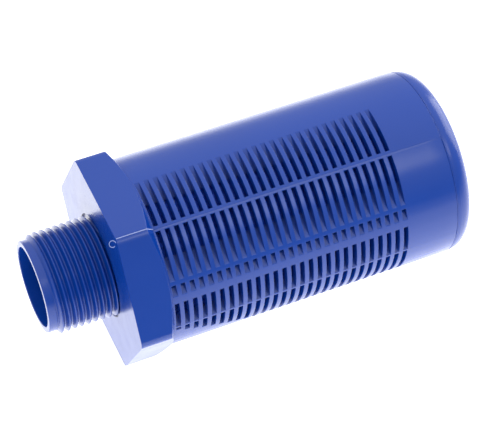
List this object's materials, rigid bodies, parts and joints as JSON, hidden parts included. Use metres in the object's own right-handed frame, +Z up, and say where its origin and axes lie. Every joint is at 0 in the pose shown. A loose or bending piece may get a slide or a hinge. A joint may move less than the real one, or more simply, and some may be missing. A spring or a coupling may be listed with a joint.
{
  "type": "pneumatic muffler",
  "caption": "Exhaust muffler with a threaded nipple, a spanner hexagon, a long slotted barrel and a rounded welded end cap.",
  "frame": {"origin": "on the thread axis, in the hexagon's front seating face", "axes": "+X along the thread axis from the port towards the closed end, +Z up with the hexagon resting on one flat"},
  "size_m": [0.1115, 0.0568, 0.0498],
  "materials": {
    "housing_plastic": "satin",
    "cap_plastic": "satin",
    "tube_plastic": "matte",
    "screen_mesh": "matte",
    "absorber_felt": "matte"
  },
  "bodies": {
    "root": {"housing": "housing_plastic", "end_cap": "cap_plastic", "core_tube": "tube_plastic", "core_screen": "screen_mesh", "absorber_sleeve": "absorber_felt", "outer_screen": "screen_mesh", "inlet_pad": "absorber_felt", "end_pad": "absorber_felt"}
  },
  "joints": []
}
